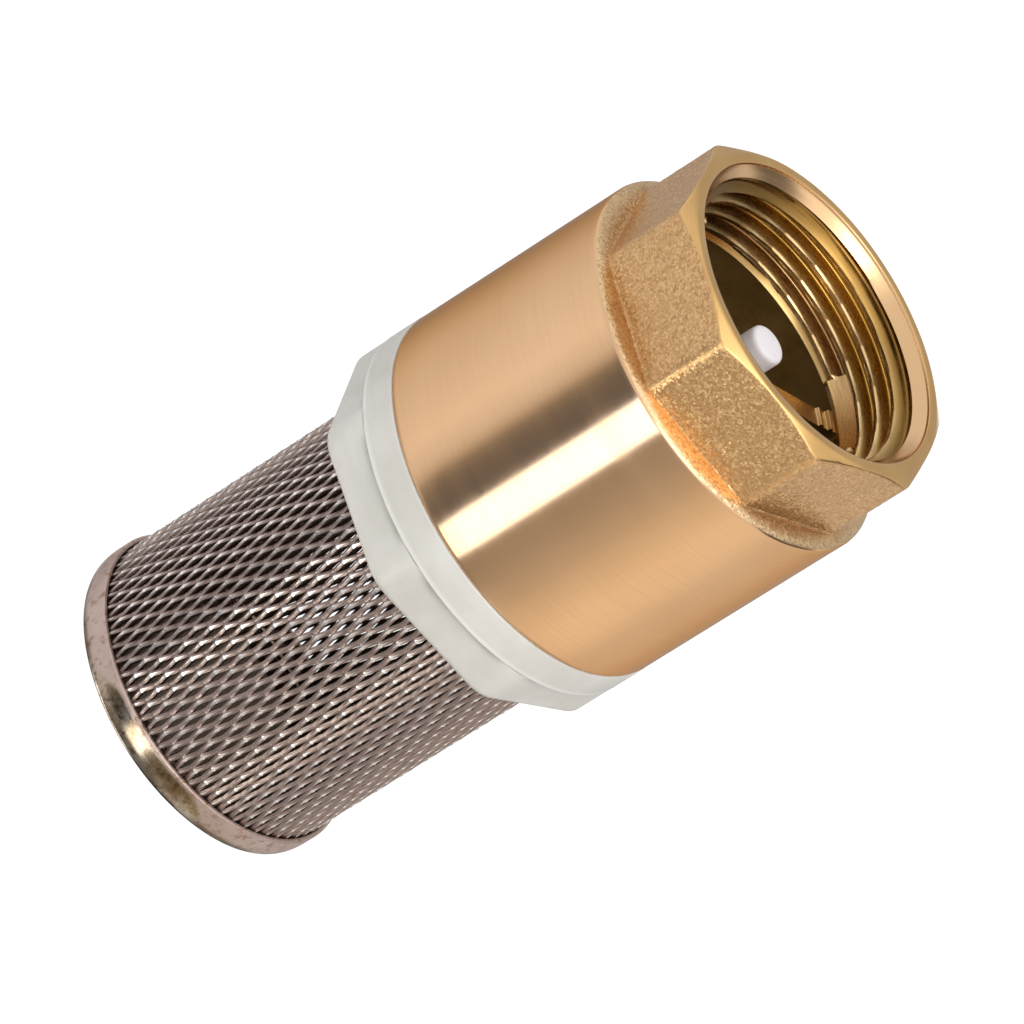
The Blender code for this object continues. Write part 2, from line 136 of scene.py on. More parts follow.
# Expanded mesh
DIAMONDS = 65                       # round the tube
DIAMOND_LONG = 3.56 * MM
STRAND_WIDTH = 0.57 * MM
STRAND_THICK = 0.56 * MM
STRAND_TILT = math.radians(10)
KNUCKLE_RISE = 0.06 * MM
MESH_MEAN_R = 17.28 * MM

# Spring
SPRING_FOOT_R = 8.6 * MM
SPRING_TOP_R = 5.3 * MM
SPRING_WIRE_R = 0.4 * MM
SPRING_TURNS = 3.5

# Painted shade, and wear with a painted dark reflection, by direction round the axis
THREAD_PAINTED_SHADE_TURN = math.radians(150)     # middle of the thread's stretch painted dark as shade
CAP_WEAR_AND_DARK_REFLECTION_TURN = math.radians(-101)          # middle of the stretch of the cap that is rubbed bright, its darker tone a painted dark reflection

SHARP = math.radians(38)            # edges that fold by more than this stay crisp


# ---- mesh tools

def rounded(corners, steps=4, closed=False):
    """An outline of (r, z, radius) corners as (r, z) points, with each corner an arc."""
    points = []
    count = len(corners)
    for i, (r, z, radius) in enumerate(corners):
        here = np.array((r, z))
        if radius == 0 or (not closed and i in (0, count - 1)):
            points.append(here)
            continue
        back = np.array(corners[i - 1][:2]) - here
        ahead = np.array(corners[(i + 1) % count][:2]) - here
        long_back, long_ahead = np.linalg.norm(back), np.linalg.norm(ahead)
        back, ahead = back / long_back, ahead / long_ahead
        half = math.acos(np.clip(back @ ahead, -1, 1)) / 2
        reach = min(radius / math.tan(half), 0.49 * long_back, 0.49 * long_ahead)
        radius = reach * math.tan(half)
        middle = here + (back + ahead) / np.linalg.norm(back + ahead) * radius / math.sin(half)
        first, last = here + back * reach - middle, here + ahead * reach - middle
        turn = math.pi - 2 * half
        for k in range(steps + 1):
            t = k / steps
            arm = math.sin((1 - t) * turn) * first + math.sin(t * turn) * last
            points.append(middle + arm / math.sin(turn))
    return points


def smooth_shaded(mesh):
    mesh.shade_smooth()
    mesh.set_sharp_from_angle(angle=SHARP)


def link(name, data):
    obj = bpy.data.objects.new(name, data)
    bpy.context.scene.collection.objects.link(obj)
    return obj


def new_piece(name, verts, faces, looks, face_look=0):
    """A mesh object shaded smooth, with its materials."""
    mesh = bpy.data.meshes.new(name)
    mesh.from_pydata(verts, [], faces)
    for look in looks:
        mesh.materials.append(look)
    mesh.polygons.foreach_set("material_index", np.broadcast_to(face_look, len(faces)).copy())
    smooth_shaded(mesh)
    return link(name, mesh)


def wrap(name, angles, rows, looks, closed=True):
    """A surface round the z axis from rows of (radii, heights, look number of the strip after it).

    Rows run down the outside and back up the inside. A row of zero radius becomes one point.
    """
    around = len(angles)
    r = np.array([np.broadcast_to(row[0], around) for row in rows], float)
    z = np.array([np.broadcast_to(row[1], around) for row in rows], float)
    strip_look = np.array([row[2] for row in rows])
    verts = np.stack([r * np.cos(angles), r * np.sin(angles), z], -1).reshape(-1, 3)
    index = np.arange(len(rows) * around).reshape(len(rows), around)
    on_axis = r.max(1) < 1e-9
    index[on_axis] = index[on_axis, :1]
    right = np.roll(index, -1, 1)
    quads = np.stack([index, np.roll(index, -1, 0), np.roll(right, -1, 0), right], -1)
    strips = len(rows) if closed else len(rows) - 1
    face_look = np.repeat(strip_look[:strips], around)
    used, packed = np.unique(quads[:strips], return_inverse=True)
    packed = packed.reshape(-1, 4).tolist()
    faces = [list(dict.fromkeys(quad)) for quad in packed]
    return new_piece(name, verts[used].tolist(), faces, looks, face_look)


def turned(name, corners, look, facets=128, closed=True, steps=4):
    """A turned piece from an outline of (r, z, radius) corners."""
    angles = np.arange(facets) * TAU / facets
    rows = [(max(r, 0), z, 0) for r, z in rounded(corners, steps, closed)]
    return wrap(name, angles, rows, [look], closed)


def washer(name, outer, inner, low, high, ease, look, steps=4):
    """A flat ring with its four edges rounded by ease."""
    return turned(name, [(outer, high, ease), (outer, low, ease), (inner, low, ease),
                         (inner, high, ease)], look, steps=steps)


def boolean(obj, tool, operation):
    """Cut or join obj by tool for good, and remove the tool."""
    mod = obj.modifiers.new("boolean", "BOOLEAN")
    mod.operation = operation
    mod.object = tool
    mod.solver = "MANIFOLD"
    bpy.context.view_layer.update()
    evaluated = obj.evaluated_get(bpy.context.evaluated_depsgraph_get())
    result = bpy.data.meshes.new_from_object(evaluated)
    obj.modifiers.clear()
    old = obj.data
    obj.data = result
    result.name = obj.name
    bpy.data.meshes.remove(old)
    tool_mesh = tool.data
    bpy.data.objects.remove(tool)
    bpy.data.meshes.remove(tool_mesh)


def prism(name, outline, low, high, bevel=0.0, only=None, steps=5):
    """An upright prism; the upright edges beyond radius `only` are rounded by `bevel`."""
    bm = bmesh.new()
    base = bm.faces.new([bm.verts.new((x, y, low)) for x, y in outline])
    grown = bmesh.ops.extrude_face_region(bm, geom=[base])
    top = [v for v in grown["geom"] if isinstance(v, bmesh.types.BMVert)]
    bmesh.ops.translate(bm, vec=(0, 0, high - low), verts=top)
    bmesh.ops.recalc_face_normals(bm, faces=bm.faces)
    if bevel:
        edges = [e for e in bm.edges if abs(e.verts[0].co.z - e.verts[1].co.z) > 0.1 * MM
                 and e.calc_face_angle() > math.radians(50)
                 and math.hypot(*e.verts[0].co.xy) > (only or 0)]
        bmesh.ops.bevel(bm, geom=edges, offset=bevel, segments=steps, profile=0.5, affect="EDGES")
    mesh = bpy.data.meshes.new(name)
    bm.to_mesh(mesh)
    bm.free()
    smooth_shaded(mesh)
    return link(name, mesh)


def octagon_radius(angles, across, corner, turn):
    """Distance from the axis to a rounded octagon; turn is the direction of one of its edges."""
    sector = math.pi / 8
    half = across / 2
    from_flat = np.abs((angles - turn) % (2 * sector) - sector)
    centre = (half - corner) / math.cos(sector)
    last_flat = math.atan((half - corner) * math.tan(sector) / half)
    from_edge = sector - from_flat
    arc = centre * np.cos(from_edge) + np.sqrt(
        np.maximum(corner ** 2 - (centre * np.sin(from_edge)) ** 2, 0))
    return np.where(from_flat < last_flat, half / np.cos(from_flat), arc)


def octagon_angles(turn):
    """Angles round the axis, closer together at an octagon's eight edges."""
    even = np.arange(360) * TAU / 360
    edges = turn + np.arange(8) * TAU / 8
    extra = np.radians([-2.5, -1.5, -0.5, 0.5, 1.5, 2.5])
    return np.unique(np.concatenate([even, (edges[:, None] + extra).ravel() % TAU]).round(6))


def pipe_thread(angles, z):
    """Radius of the G1 female thread at height z, its crests cut flat by the bore."""
    from_crest = (z - THREAD_PHASE - PITCH * angles / TAU) / PITCH
    t = np.abs(from_crest - np.round(from_crest)) * PITCH
    slope = math.radians(62.5)
    ease = THREAD_ROUND * math.sin(slope)
    rise = THREAD_ROUND * (1 - math.cos(slope))
    crest = THREAD_ROUND - np.sqrt(np.maximum(THREAD_ROUND ** 2 - t ** 2, 0))
    flank = rise + (t - ease) * math.tan(slope)
    s = PITCH / 2 - t
    root = THREAD_DEPTH - THREAD_ROUND + np.sqrt(np.maximum(THREAD_ROUND ** 2 - s ** 2, 0))
    depth = np.where(t < ease, crest, np.where(s < ease, root, flank))
    return np.maximum(THREAD_MINOR_R + depth, THREAD_FLAT_R)


def lower_thread(angles, z, play):
    """Radius of the fine thread that joins body, seat ring and holder."""
    turn = ((z - BODY_FOOT) / LOWER_PITCH - angles / TAU) % 1.0
    return LOWER_R - play - LOWER_DEPTH * np.clip(1.25 - 2.5 * np.abs(turn - 0.5), 0, 1)


def threaded(angles, low, high, play, look=0):
    """Rows of the lower thread going up from low to high, six to a turn."""
    count = round((high - low) / LOWER_PITCH * 6)
    return [(lower_thread(angles, z, play), z, look) for z in np.linspace(low, high, count)]


def stand_for(obj, body):
    """The piece replaces the CAD node of its name and rides on body."""
    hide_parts(obj.name.removesuffix("_fine"))
    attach(obj, body)
    return obj


# ---- material tools

def add_node(tree, kind, values=None, **settings):
    """A shader node with its settings; each input gets a value, or a link from a socket."""
    made = tree.nodes.new("ShaderNode" + kind)
    for key, value in settings.items():
        setattr(made, key, value)
    for key, value in (values or {}).items():
        if isinstance(value, bpy.types.NodeSocket):
            tree.links.new(value, made.inputs[key])
        else:
            made.inputs[key].default_value = value
    return made


class Recipe:
    """A node material in the making, with the few nodes that every finish here uses."""

    def __init__(self, name, **shader_values):
        self.material = bpy.data.materials.new(name)
        self.material.use_nodes = True
        self.tree = self.material.node_tree
        self.shader = self.tree.nodes["Principled BSDF"]
        for key, value in shader_values.items():
            self.shader.inputs[key.replace("_", " ")].default_value = value
        self.place = self.node("TexCoord").outputs["Object"]
        parts = self.node("SeparateXYZ", {0: self.place})
        flat = self.out("CombineXYZ", {0: parts.outputs[0], 1: parts.outputs[1]})
        self.height = parts.outputs[2]
        self.radius = self.node("VectorMath", {0: flat}, operation="LENGTH").outputs["Value"]

    def node(self, kind, values=None, **settings):
        return add_node(self.tree, kind, values, **settings)

    def out(self, kind, values=None, **settings):
        return self.node(kind, values, **settings).outputs[0]

    def math(self, operation, *values):
        return self.out("Math", dict(enumerate(values)), operation=operation)

    def stretch(self, x, y, z):
        """The place, scaled along each axis."""
        return self.out("VectorMath", {0: self.place, 1: (x, y, z)}, operation="MULTIPLY")

    def noise(self, scale, detail=3.0, rough=0.5, vector=None):
        """Cloudy noise, 0 to 1, with scale lumps to the metre."""
        return self.out("TexNoise", {"Vector": vector or self.place, "Scale": scale,
                                     "Detail": detail, "Roughness": rough})

    def along(self, value, low, high, to_low=0.0, to_high=1.0, smooth=False):
        """value's range low..high mapped to another range, clamped."""
        return self.out("MapRange", {0: value, 1: low, 2: high, 3: to_low, 4: to_high},
                        interpolation_type="SMOOTHSTEP" if smooth else "LINEAR")

    def blend(self, amount, a, b):
        """Colour from a to b, each a colour socket or a plain (red, green, blue)."""
        a, b = ((*value, 1.0) if isinstance(value, tuple) else value for value in (a, b))
        return self.node("Mix", {0: amount, 6: a, 7: b}, data_type="RGBA").outputs[2]

    def facing(self, turn):
        """Cosine of the angle round the axis between this place and a turn."""
        ahead = self.node("VectorMath", {0: self.place, 1: (math.cos(turn), math.sin(turn), 0)},
                          operation="DOT_PRODUCT")
        return self.math("DIVIDE", ahead.outputs["Value"], self.radius)

    def bump(self, height, distance, strength, under=None):
        values = {"Height": height, "Distance": distance, "Strength": strength}
        if under:
            values["Normal"] = under
        return self.out("Bump", values)

    def finish(self, tone, grain, smooth, rough, relief, strength):
        """The material from its tone and one noise that sets both roughness and relief."""
        return self.set(Base_Color=tone, Roughness=self.along(grain, 0.3, 0.7, smooth, rough),
                        Normal=self.bump(grain, relief, strength))

    def set(self, **links):
        for key, value in links.items():
            self.tree.links.new(value, self.shader.inputs[key.replace("_", " ")])
        return self.material


def turned_brass():
    """The barrel: satin, with fine lines round it that spread its highlights along the axis."""
    m = Recipe("turned_brass", Metallic=1.0, Anisotropic=0.85, Anisotropic_Rotation=0.25,
               Specular_Tint=(0.86, 0.62, 0.42, 1.0))
    lines = m.noise(1.0, 5.0, 0.65, m.stretch(60, 60, 5200))
    broad = m.noise(1.0, 2.0, 0.5, m.stretch(25, 25, 420))
    cloud = m.noise(70, 3.0)
    tone = m.blend(m.along(cloud, 0.35, 0.7), (0.83, 0.525, 0.305), (0.79, 0.49, 0.27))
    tone = m.blend(m.along(lines, 0.35, 0.75, 0, 0.25), tone, (0.66, 0.40, 0.21))
    rough = m.math("ADD", m.along(lines, 0.3, 0.75, 0.15, 0.21), m.along(broad, 0.4, 0.7, 0, 0.03))
    m.tree.links.new(m.node("Tangent", direction_type="RADIAL", axis="Z").outputs[0],
                     m.shader.inputs["Tangent"])
    return m.set(Base_Color=tone, Roughness=rough, Normal=m.bump(lines, 0.004 * MM, 0.5))


def cast_brass():
    """The forged and blasted skin of the head: granular, with small glints from tilted facets and
    painted glints in its light speckles, and a painted highlight on the shoulder ring.
    """
    m = Recipe("cast_brass", Metallic=1.0)
    cells = m.node("TexVoronoi", {"Vector": m.place, "Scale": 4600.0})
    from_middle = m.out("VectorMath", {0: m.place, 1: cells.outputs["Position"]},
                        operation="SUBTRACT")
    lean = m.out("VectorMath", {0: cells.outputs["Color"], 1: (0.5, 0.5, 0.5)},
                 operation="SUBTRACT")
    facets = m.node("VectorMath", {0: from_middle, 1: lean}, operation="DOT_PRODUCT").outputs[1]
    grain = m.noise(6500, 2.0, 0.6)
    lumps = m.noise(1100, 2.0)
    cloud = m.noise(160, 3.0)
    tone = m.blend(cells.outputs["Distance"], (0.77, 0.453, 0.215), (0.62, 0.355, 0.152))
    tone = m.blend(m.along(grain, 0.3, 0.7, 0.4, 0), tone, (0.54, 0.33, 0.15))
    # Painted highlight: the shoulder ring is blended towards a pale tone, as if lit from above.
    ring = m.along(m.height, HEAD_FOOT, SHOULDER + 0.1 * MM, 0, 0.62)
    tone = m.blend(ring, tone, (0.93, 0.70, 0.43))
    # Random light and dark speckles per cell: grain, with the light ones also painted glints.
    chance = m.out("SeparateXYZ", {0: cells.outputs["Color"]})
    tone = m.blend(m.along(chance, 0.55, 1.0, 0, 0.52), tone, (0.93, 0.67, 0.365))
    tone = m.blend(m.along(chance, 0.45, 0.0, 0, 0.52), tone, (0.38, 0.22, 0.09))
    tone = m.blend(m.along(cloud, 0.4, 0.7, 0, 0.3), tone, (0.55, 0.335, 0.165))
    normal = m.bump(lumps, 0.03 * MM, 0.5)
    normal = m.bump(facets, 1.0, 0.24, normal)
    normal = m.bump(grain, 0.025 * MM, 0.6, normal)
    return m.set(Base_Color=tone, Roughness=m.along(grain, 0.3, 0.7, 0.42, 0.26), Normal=normal)


def faced_brass():
    """End face, chamfer and entry band: machined, with fine circles."""
    m = Recipe("faced_brass", Metallic=1.0)
    spread = m.math("ADD", m.math("MULTIPLY", m.radius, 4200), m.math("MULTIPLY", m.height, 4200))
    lines = m.noise(1.0, 4.0, 0.6, m.out("CombineXYZ", {0: spread}))
    cloud = m.noise(180, 3.0)
    tone = m.blend(m.along(cloud, 0.35, 0.7), (0.80, 0.50, 0.20), (0.72, 0.43, 0.165))
    tone = m.blend(m.along(lines, 0.4, 0.8, 0, 0.3), tone, (0.60, 0.35, 0.13))
    entry = m.along(m.radius, MOUTH_R + 0.15 * MM, MOUTH_R)
    tone = m.blend(entry, tone, (0.79, 0.51, 0.275))
    return m.finish(tone, lines, 0.18, 0.30, 0.004 * MM, 0.5)


def thread_brass():
    """The tapped thread: bright crests, grooves painted darker with depth as shade and darker still
    towards the web, the first turn painted dark as shade, and one stretch painted dark as shade.
    """
    m = Recipe("thread_brass", Metallic=1.0)
    # Painted shade: the grooves take a darker, more saturated tone than the crests, by depth.
    deep = m.along(m.radius, THREAD_FLAT_R + 0.08 * MM, THREAD_FLAT_R + 0.9 * MM)
    tears = m.noise(1.0, 4.0, 0.6, m.stretch(350, 350, 5000))
    # Painted shade: the first turn under the entry band, crest and groove, is painted dark.
    first = m.along(m.height, TOP - 3.6 * MM, TOP - 2.7 * MM)
    low = m.along(m.height, PAD_TOP + 0.5 * MM, PAD_TOP - 0.5 * MM)
    groove = m.blend(low, (0.76, 0.49, 0.12), (0.64, 0.41, 0.20))
    groove = m.blend(first, groove, (0.27, 0.145, 0.035))
    groove = m.blend(m.along(m.height, WEB_TOP + 1.9 * MM, WEB_TOP + 1.0 * MM), groove,
                     (0.40, 0.245, 0.08))
    crest = m.blend(first, (0.90, 0.64, 0.32), (0.46, 0.275, 0.085))
    tone = m.blend(deep, crest, groove)
    tone = m.blend(m.along(tears, 0.45, 0.8, 0, 0.4), tone, (0.46, 0.26, 0.06))
    # Painted shade: one stretch of the thread, by direction round the axis, is painted dark.
    painted_shade_stretch = m.along(m.facing(THREAD_PAINTED_SHADE_TURN), 0.78, 0.97, 0, 0.65, smooth=True)
    tone = m.blend(painted_shade_stretch, tone, (0.13, 0.07, 0.02))
    return m.finish(tone, tears, 0.20, 0.34, 0.01 * MM, 0.4)


def inner_brass():
    """Web, hub and chamber: as cast and dull, lightly machined."""
    m = Recipe("inner_brass", Metallic=1.0)
    grain = m.noise(1500, 4.0, 0.6)
    cloud = m.noise(220, 3.0)
    tone = m.blend(m.along(cloud, 0.3, 0.7), (0.22, 0.135, 0.035), (0.33, 0.20, 0.065))
    return m.finish(tone, grain, 0.38, 0.55, 0.05 * MM, 0.5)


def seat_brass():
    """Seat ring: turned all over, the lip burnished."""
    m = Recipe("seat_brass", Metallic=1.0)
    lines = m.noise(1.0, 4.0, 0.6, m.out("CombineXYZ", {0: m.math("MULTIPLY", m.radius, 3800)}))
    tone = m.blend(lines, (0.80, 0.52, 0.24), (0.64, 0.39, 0.15))
    return m.finish(tone, lines, 0.16, 0.30, 0.005 * MM, 0.5)


def nylon(name, light, dark, glow, shade=None):
    """Moulded nylon: milky, with faint flow marks and a fine moulded skin.

    With a shade colour, painted shade darkens the nylon close under the flange and a painted
    highlight makes its lower edge pale.
    """
    m = Recipe(name, Subsurface_Weight=glow, Subsurface_Scale=1.0 * MM, IOR=1.53,
               Specular_IOR_Level=0.45)
    m.shader.inputs["Subsurface Radius"].default_value = (2.4, 2.2, 1.9)
    cloud = m.noise(110, 4.0, 0.55)
    flow = m.noise(1.0, 3.0, 0.5, m.stretch(200, 200, 900))
    skin = m.noise(3200, 3.0)
    tone = m.blend(m.along(cloud, 0.35, 0.68), light, dark)
    tone = m.blend(m.along(flow, 0.5, 0.8, 0, 0.3), tone, dark)
    if shade:
        # Painted shade: darker close under the flange, on the faces tucked in from it.
        close = m.along(m.height, FLANGE_FOOT - 1.3 * MM, FLANGE_FOOT - 0.1 * MM, smooth=True)
        tucked = m.along(m.radius, FLANGE_R - 0.25 * MM, FLANGE_R - 0.8 * MM)
        below = m.along(m.height, FLANGE_FOOT + 0.1 * MM, FLANGE_FOOT)
        depth = m.math("MULTIPLY", m.math("MULTIPLY", close, tucked), below)
        tone = m.blend(depth, tone, shade)
        # Painted highlight: a pale line along the flange's lower rounded edge.
        rim = m.math("ABSOLUTE", m.math("SUBTRACT", m.height, FLANGE_FOOT + 0.25 * MM))
        rim = m.math("MULTIPLY", m.along(rim, 0.5 * MM, 0.0, smooth=True),
                     m.along(m.radius, FLANGE_R - 0.6 * MM, FLANGE_R - 0.1 * MM, 0, 0.4))
        tone = m.blend(rim, tone, (0.90, 0.89, 0.85))
    normal = m.bump(flow, 0.03 * MM, 0.35)
    normal = m.bump(skin, 0.01 * MM, 0.5, normal)
    return m.set(Base_Color=tone, Roughness=m.along(skin, 0.3, 0.7, 0.31, 0.44), Normal=normal)


def mesh_steel():
    """Expanded stainless sheet: grey strands, with painted glints on the knuckles and painted shade
    on their inner side.
    """
    m = Recipe("mesh_steel", Metallic=1.0)
    scratch = m.noise(1.0, 4.0, 0.6, m.stretch(2500, 2500, 600))
    cloud = m.noise(240, 3.0)
    tone = m.blend(m.along(scratch, 0.35, 0.7), (0.348, 0.262, 0.232), (0.242, 0.176, 0.150))
    tone = m.blend(m.along(cloud, 0.4, 0.7, 0, 0.4), tone, (0.328, 0.252, 0.236))
    # Painted shade: the strands' inner side is near black.
    outside = m.along(m.radius, MESH_MEAN_R - 0.16 * MM, MESH_MEAN_R + 0.02 * MM)
    tone = m.blend(outside, (0.085, 0.06, 0.045), tone)
    # Painted glint: the knuckles' tops are near white, and smoother.
    knuckle_top_glint = m.along(m.radius, MESH_MEAN_R + 0.25 * MM, MESH_MEAN_R + 0.31 * MM)
    tone = m.blend(knuckle_top_glint, tone, (0.90, 0.83, 0.81))
    rough = m.math("SUBTRACT", m.along(scratch, 0.3, 0.7, 0.31, 0.45),
                   m.math("MULTIPLY", knuckle_top_glint, 0.17))
    return m.set(Base_Color=tone, Roughness=rough, Normal=m.bump(scratch, 0.02 * MM, 0.5))


def cap_steel():
    """Pressed cap: dull drawn steel with rust specks, rubbed bright along its lower edge, where its
    darker tone is a painted dark reflection, and painted shade on its inner floor.
    """
    m = Recipe("cap_steel", Metallic=1.0)
    lines = m.noise(1.0, 4.0, 0.6, m.stretch(120, 120, 3600))
    cloud = m.noise(150, 3.0, 0.6)
    stain = m.noise(170, 4.0, 0.65)
    specks = m.noise(900, 3.0, 0.7)
    # Wear with a painted dark reflection: the lower edge is smoother, higher up over one stretch,
    # and its darker tone stands for the dark it mirrors.
    wear_and_reflection_reach = m.along(m.facing(CAP_WEAR_AND_DARK_REFLECTION_TURN), 0.83, 0.95, 0.0, 2.1 * MM, smooth=True)
    side = m.along(m.math("SUBTRACT", m.height, wear_and_reflection_reach), 0.5 * MM, 1.3 * MM, smooth=True)
    dull = m.blend(m.along(cloud, 0.35, 0.65), (0.61, 0.485, 0.44), (0.49, 0.375, 0.33))
    dull = m.blend(m.along(specks, 0.53, 0.66, 0, 0.8), dull, (0.33, 0.19, 0.12))
    rubbed_tone_and_dark_reflection = m.blend(m.along(stain, 0.42, 0.60), (0.50, 0.405, 0.315), (0.245, 0.158, 0.083))
    rubbed_tone_and_dark_reflection = m.blend(m.along(specks, 0.52, 0.66, 0, 0.8), rubbed_tone_and_dark_reflection, (0.10, 0.06, 0.03))
    # Painted shade: the inside of the cup, where it faces up, is darker.
    inside = m.along(m.radius, CAP_R - 0.30 * MM, CAP_R - 0.45 * MM)
    normal = m.node("SeparateXYZ", {0: m.node("TexCoord").outputs["Normal"]})
    floor = m.math("MULTIPLY", inside, m.along(normal.outputs[2], 0.2, 0.5))
    tone = m.blend(floor, m.blend(side, rubbed_tone_and_dark_reflection, dull), (0.35, 0.265, 0.205))
    rough = m.math("ADD", m.along(side, 0, 1, 0.13, 0.50), m.along(lines, 0.3, 0.7, 0.0, 0.10))
    return m.set(Base_Color=tone, Roughness=rough, Normal=m.bump(lines, 0.01 * MM, 0.4))


def bright_steel(name, tone_a, tone_b, rough):
    """Drawn or rolled steel for the small inner pieces."""
    m = Recipe(name, Metallic=1.0)
    lines = m.noise(1800, 4.0, 0.6)
    tone = m.blend(lines, tone_a, tone_b)
    return m.finish(tone, lines, rough, rough + 0.14, 0.01 * MM, 0.4)


def rubber(name, tone):
    """Black nitrile: matt, slightly mottled."""
    m = Recipe(name, Specular_IOR_Level=0.35)
    skin = m.noise(1400, 4.0, 0.6)
    light = tuple(min(1.0, 1.9 * c) for c in tone)
    tone = m.blend(m.along(skin, 0.35, 0.7), tone, light)
    return m.finish(tone, skin, 0.55, 0.75, 0.03 * MM, 0.5)


# ---- brass body

def socket_wall(angles, z):
    """Radius of the socket below the entry band: thread, plain pads over the arms, run-out."""
    undercut = UNDERCUT_R - THREAD_LEAD_SLOPE * max(UNDERCUT_FOOT - z, 0.0)
    wall = np.maximum(pipe_thread(angles, z), undercut)
    sector = TAU / ARMS
    from_arm = np.abs((angles - ARM_TURN + sector / 2) % sector - sector / 2)
    over_arm = from_arm < PAD_REACH
    if z < PAD_TOP:
        share = min((PAD_TOP - z) / (PAD_TOP - THREAD_FOOT), 1.0)
        wall = np.where(over_arm, PAD_TOP_R + (PAD_FOOT_R - PAD_TOP_R) * share, wall)
    if z < THREAD_FOOT:
        share = (THREAD_FOOT - z) / (THREAD_FOOT - WEB_TOP)
        wall = np.where(over_arm, 15.8 * MM, THREAD_FLAT_R + (0.9 - 0.7 * share) * MM)
    return wall


def port_cutter(index):
    """One kidney port between two guide arms, its edges running parallel to them."""
    half = ARM_WIDTH / 2
    sector = TAU / ARMS
    outline = []
    for radius, steps, forward in ((PORT_R, 40, True), (HUB_R + 0.4 * MM, 14, False)):
        start = math.asin(half / radius)
        turns = [start + (sector - 2 * start) * i / steps for i in range(steps + 1)]
        outline += [(radius * math.cos(a), radius * math.sin(a))
                    for a in (turns if forward else reversed(turns))]
    cutter = prism(f"port_{index}", outline, HUB_FOOT - 1 * MM, WEB_TOP + 0.6 * MM,
                   bevel=PORT_CORNER, only=PORT_R - 1 * MM, steps=6)
    cutter.data.transform(Matrix.Rotation(ARM_TURN + index * sector, 4, "Z"))
    return cutter


